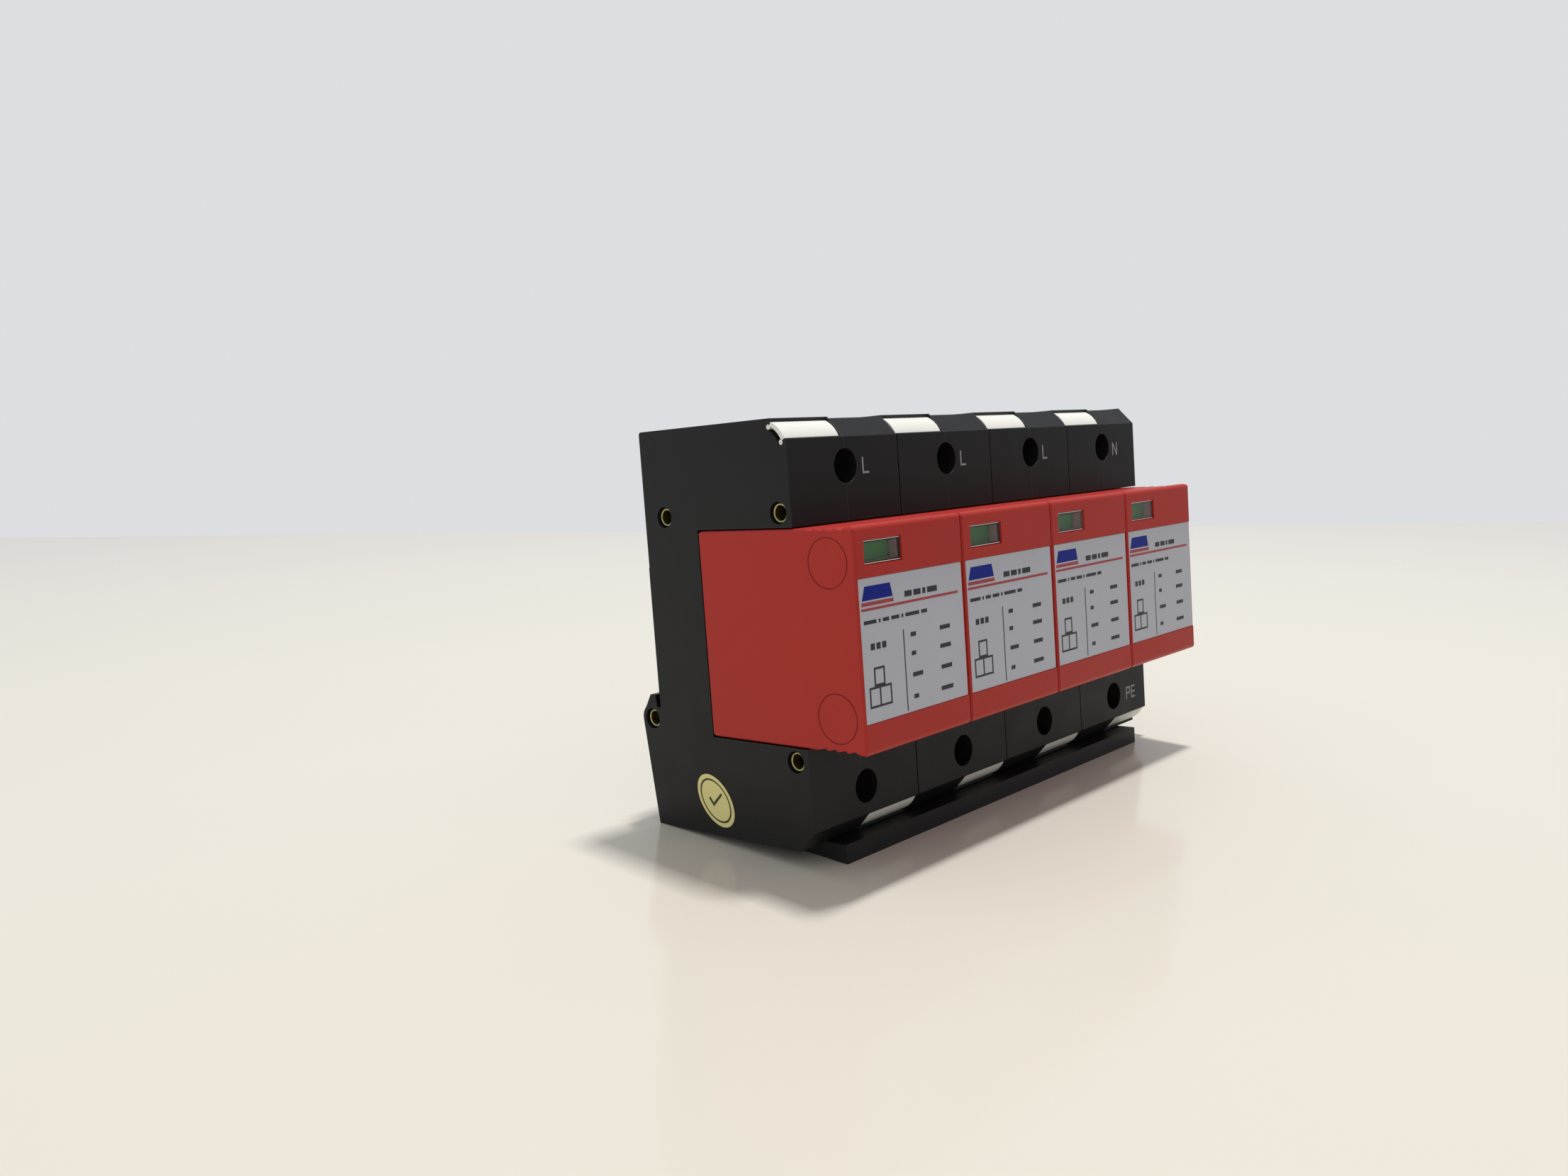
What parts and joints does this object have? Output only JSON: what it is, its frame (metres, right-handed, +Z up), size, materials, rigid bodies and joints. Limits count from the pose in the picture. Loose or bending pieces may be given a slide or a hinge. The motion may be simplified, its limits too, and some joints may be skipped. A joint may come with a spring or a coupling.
{
  "type": "din rail surge arrester",
  "caption": "Row of rail-mounted surge protection poles: black riveted bases with screw terminals hold red plug-in cartridges with status windows, joined by an earth comb.",
  "frame": {"origin": "middle of the rail seat: on the rear faces, halfway along the row and level with the rail's middle", "axes": "+X along the rail, +Y towards the rail (the front faces -Y), +Z up"},
  "size_m": [0.1436, 0.067, 0.0942],
  "materials": {
    "housing": "fine spark-eroded moulding",
    "screw_steel": "zinc plated",
    "clamp_steel": "yellow zinc plated",
    "latch": "moulded",
    "spring_steel": "drawn wire",
    "contact_copper": "tinned copper",
    "rivet_brass": "dull rolled brass",
    "marker_tag": "smooth",
    "comb_copper": "bare copper",
    "comb_insulation": "extruded",
    "cartridge": "satin moulding",
    "cartridge_back": "satin moulding",
    "window": "clear moulding",
    "flag": "smooth",
    "varistor": "epoxy coating on a ceramic block",
    "blade_copper": "silver-plated copper"
  },
  "bodies": {
    "base": {"base_shell_left_1": "housing", "base_shell_left_2": "housing", "base_shell_left_3": "housing", "base_shell_left_4": "housing", "base_shell_right_1": "housing", "base_shell_right_2": "housing", "base_shell_right_3": "housing", "base_shell_right_4": "housing", "latch_springs": "spring_steel", "plug_contacts": "contact_copper", "rivets": "rivet_brass", "marker_tags": "marker_tag", "earth_comb": "comb_copper", "comb_channel": "comb_insulation"},
    "cartridge_1": {"cartridge_case_1": "cartridge", "cartridge_back_1": "cartridge_back", "status_window_1": "window", "varistor_1": "varistor", "plug_blades_1": "blade_copper"},
    "flag_1": {"status_flag_1": "flag"},
    "latch_1": {"rail_latch_1": "latch"},
    "screw_top_1": {"terminal_screw_top_1": "screw_steel"},
    "clamp_top_1": {"clamp_cage_top_1": "clamp_steel"},
    "screw_bottom_1": {"terminal_screw_bottom_1": "screw_steel"},
    "clamp_bottom_1": {"clamp_cage_bottom_1": "clamp_steel"},
    "cartridge_2": {"cartridge_case_2": "cartridge", "cartridge_back_2": "cartridge_back", "status_window_2": "window", "varistor_2": "varistor", "plug_blades_2": "blade_copper"},
    "flag_2": {"status_flag_2": "flag"},
    "latch_2": {"rail_latch_2": "latch"},
    "screw_top_2": {"terminal_screw_top_2": "screw_steel"},
    "clamp_top_2": {"clamp_cage_top_2": "clamp_steel"},
    "screw_bottom_2": {"terminal_screw_bottom_2": "screw_steel"},
    "clamp_bottom_2": {"clamp_cage_bottom_2": "clamp_steel"},
    "cartridge_3": {"cartridge_case_3": "cartridge", "cartridge_back_3": "cartridge_back", "status_window_3": "window", "varistor_3": "varistor", "plug_blades_3": "blade_copper"},
    "flag_3": {"status_flag_3": "flag"},
    "latch_3": {"rail_latch_3": "latch"},
    "screw_top_3": {"terminal_screw_top_3": "screw_steel"},
    "clamp_top_3": {"clamp_cage_top_3": "clamp_steel"},
    "screw_bottom_3": {"terminal_screw_bottom_3": "screw_steel"},
    "clamp_bottom_3": {"clamp_cage_bottom_3": "clamp_steel"},
    "cartridge_4": {"cartridge_case_4": "cartridge", "cartridge_back_4": "cartridge_back", "status_window_4": "window", "varistor_4": "varistor", "plug_blades_4": "blade_copper"},
    "flag_4": {"status_flag_4": "flag"},
    "latch_4": {"rail_latch_4": "latch"},
    "screw_top_4": {"terminal_screw_top_4": "screw_steel"},
    "clamp_top_4": {"clamp_cage_top_4": "clamp_steel"},
    "screw_bottom_4": {"terminal_screw_bottom_4": "screw_steel"},
    "clamp_bottom_4": {"clamp_cage_bottom_4": "clamp_steel"}
  },
  "joints": [
    {"name": "cartridge_pull_1", "type": "slide", "parent": "base", "child": "cartridge_1", "axis": [0, -1, 0], "range_m": [0, 0.032]},
    {"name": "flag_slide_1", "type": "slide", "parent": "cartridge_1", "child": "flag_1", "axis": [1, 0, 0], "range_m": [0, 0.013]},
    {"name": "latch_slide_1", "type": "slide", "parent": "base", "child": "latch_1", "axis": [0, 0, 1], "range_m": [0, 0.0032], "stiffness_N_per_m": 500, "springref_m": -0.004, "deforming": ["latch_springs"]},
    {"name": "screw_turn_top_1", "type": "hinge", "parent": "base", "child": "screw_top_1", "pos_m": [-0.054, -0.0356, 0.0344], "axis": [0, 1, 0], "range_deg": [0, 2527]},
    {"name": "clamp_slide_top_1", "type": "slide", "parent": "base", "child": "clamp_top_1", "axis": [0, -1, 0], "range_m": [0, 0.0056]},
    {"name": "screw_turn_bottom_1", "type": "hinge", "parent": "base", "child": "screw_bottom_1", "pos_m": [-0.054, -0.0356, -0.0344], "axis": [0, 1, 0], "range_deg": [-1850, 0]},
    {"name": "clamp_slide_bottom_1", "type": "slide", "parent": "base", "child": "clamp_bottom_1", "axis": [0, -1, 0], "range_m": [-0.0041, 0]},
    {"name": "cartridge_pull_2", "type": "slide", "parent": "base", "child": "cartridge_2", "axis": [0, -1, 0], "range_m": [0, 0.032]},
    {"name": "flag_slide_2", "type": "slide", "parent": "cartridge_2", "child": "flag_2", "axis": [1, 0, 0], "range_m": [0, 0.013]},
    {"name": "latch_slide_2", "type": "slide", "parent": "base", "child": "latch_2", "axis": [0, 0, 1], "range_m": [0, 0.0032], "stiffness_N_per_m": 500, "springref_m": -0.004, "deforming": ["latch_springs"]},
    {"name": "screw_turn_top_2", "type": "hinge", "parent": "base", "child": "screw_top_2", "pos_m": [-0.018, -0.0356, 0.0344], "axis": [0, 1, 0], "range_deg": [0, 2527]},
    {"name": "clamp_slide_top_2", "type": "slide", "parent": "base", "child": "clamp_top_2", "axis": [0, -1, 0], "range_m": [0, 0.0056]},
    {"name": "screw_turn_bottom_2", "type": "hinge", "parent": "base", "child": "screw_bottom_2", "pos_m": [-0.018, -0.0356, -0.0344], "axis": [0, 1, 0], "range_deg": [-1850, 0]},
    {"name": "clamp_slide_bottom_2", "type": "slide", "parent": "base", "child": "clamp_bottom_2", "axis": [0, -1, 0], "range_m": [-0.0041, 0]},
    {"name": "cartridge_pull_3", "type": "slide", "parent": "base", "child": "cartridge_3", "axis": [0, -1, 0], "range_m": [0, 0.032]},
    {"name": "flag_slide_3", "type": "slide", "parent": "cartridge_3", "child": "flag_3", "axis": [1, 0, 0], "range_m": [0, 0.013]},
    {"name": "latch_slide_3", "type": "slide", "parent": "base", "child": "latch_3", "axis": [0, 0, 1], "range_m": [0, 0.0032], "stiffness_N_per_m": 500, "springref_m": -0.004, "deforming": ["latch_springs"]},
    {"name": "screw_turn_top_3", "type": "hinge", "parent": "base", "child": "screw_top_3", "pos_m": [0.018, -0.0356, 0.0344], "axis": [0, 1, 0], "range_deg": [0, 2527]},
    {"name": "clamp_slide_top_3", "type": "slide", "parent": "base", "child": "clamp_top_3", "axis": [0, -1, 0], "range_m": [0, 0.0056]},
    {"name": "screw_turn_bottom_3", "type": "hinge", "parent": "base", "child": "screw_bottom_3", "pos_m": [0.018, -0.0356, -0.0344], "axis": [0, 1, 0], "range_deg": [-1850, 0]},
    {"name": "clamp_slide_bottom_3", "type": "slide", "parent": "base", "child": "clamp_bottom_3", "axis": [0, -1, 0], "range_m": [-0.0041, 0]},
    {"name": "cartridge_pull_4", "type": "slide", "parent": "base", "child": "cartridge_4", "axis": [0, -1, 0], "range_m": [0, 0.032]},
    {"name": "flag_slide_4", "type": "slide", "parent": "cartridge_4", "child": "flag_4", "axis": [1, 0, 0], "range_m": [0, 0.013]},
    {"name": "latch_slide_4", "type": "slide", "parent": "base", "child": "latch_4", "axis": [0, 0, 1], "range_m": [0, 0.0032], "stiffness_N_per_m": 500, "springref_m": -0.004, "deforming": ["latch_springs"]},
    {"name": "screw_turn_top_4", "type": "hinge", "parent": "base", "child": "screw_top_4", "pos_m": [0.054, -0.0356, 0.0344], "axis": [0, 1, 0], "range_deg": [0, 2527]},
    {"name": "clamp_slide_top_4", "type": "slide", "parent": "base", "child": "clamp_top_4", "axis": [0, -1, 0], "range_m": [0, 0.0056]},
    {"name": "screw_turn_bottom_4", "type": "hinge", "parent": "base", "child": "screw_bottom_4", "pos_m": [0.054, -0.0356, -0.0344], "axis": [0, 1, 0], "range_deg": [0, 1850]},
    {"name": "clamp_slide_bottom_4", "type": "slide", "parent": "base", "child": "clamp_bottom_4", "axis": [0, -1, 0], "range_m": [0, 0.0041]}
  ],
  "couplings": [
    {"joint": "screw_turn_top_1", "follows": "clamp_slide_top_1", "rad_per_m": 7874},
    {"joint": "screw_turn_bottom_1", "follows": "clamp_slide_bottom_1", "rad_per_m": 7874},
    {"joint": "screw_turn_top_2", "follows": "clamp_slide_top_2", "rad_per_m": 7874},
    {"joint": "screw_turn_bottom_2", "follows": "clamp_slide_bottom_2", "rad_per_m": 7874},
    {"joint": "screw_turn_top_3", "follows": "clamp_slide_top_3", "rad_per_m": 7874},
    {"joint": "screw_turn_bottom_3", "follows": "clamp_slide_bottom_3", "rad_per_m": 7874},
    {"joint": "screw_turn_top_4", "follows": "clamp_slide_top_4", "rad_per_m": 7874},
    {"joint": "screw_turn_bottom_4", "follows": "clamp_slide_bottom_4", "rad_per_m": 7874}
  ]
}
